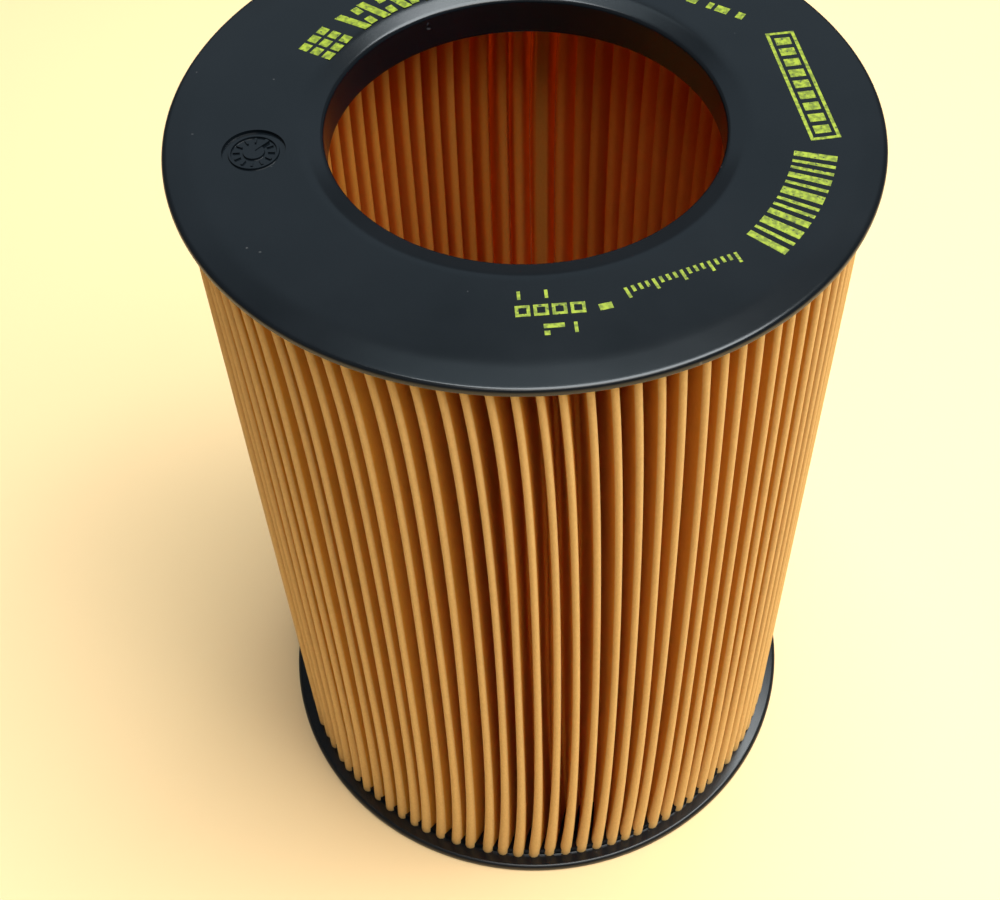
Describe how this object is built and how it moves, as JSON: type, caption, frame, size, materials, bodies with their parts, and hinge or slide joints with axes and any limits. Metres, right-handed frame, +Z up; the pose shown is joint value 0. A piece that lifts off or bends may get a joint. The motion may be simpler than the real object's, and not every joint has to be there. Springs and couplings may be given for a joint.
{
  "type": "air filter element",
  "caption": "Round pleated paper filter element with two moulded polyurethane end caps; the upper cap has an open sealing bore and the lower cap is closed.",
  "frame": {"origin": "on the axis of the element, at the plane of the face that it stands on", "axes": "+Z up along the axis, from the closed end to the open end; +Y towards the seam of the paper; -Y is the front"},
  "size_m": [0.141, 0.141, 0.2],
  "materials": {
    "end_cap_polyurethane": "satin",
    "filter_paper": "matte",
    "seam_glue": "satin",
    "marking_ink": "matte"
  },
  "bodies": {
    "root": {"upper_end_cap": "end_cap_polyurethane", "lower_end_cap": "end_cap_polyurethane", "pleated_paper_pack": "filter_paper", "seam_adhesive": "seam_glue"}
  },
  "joints": []
}
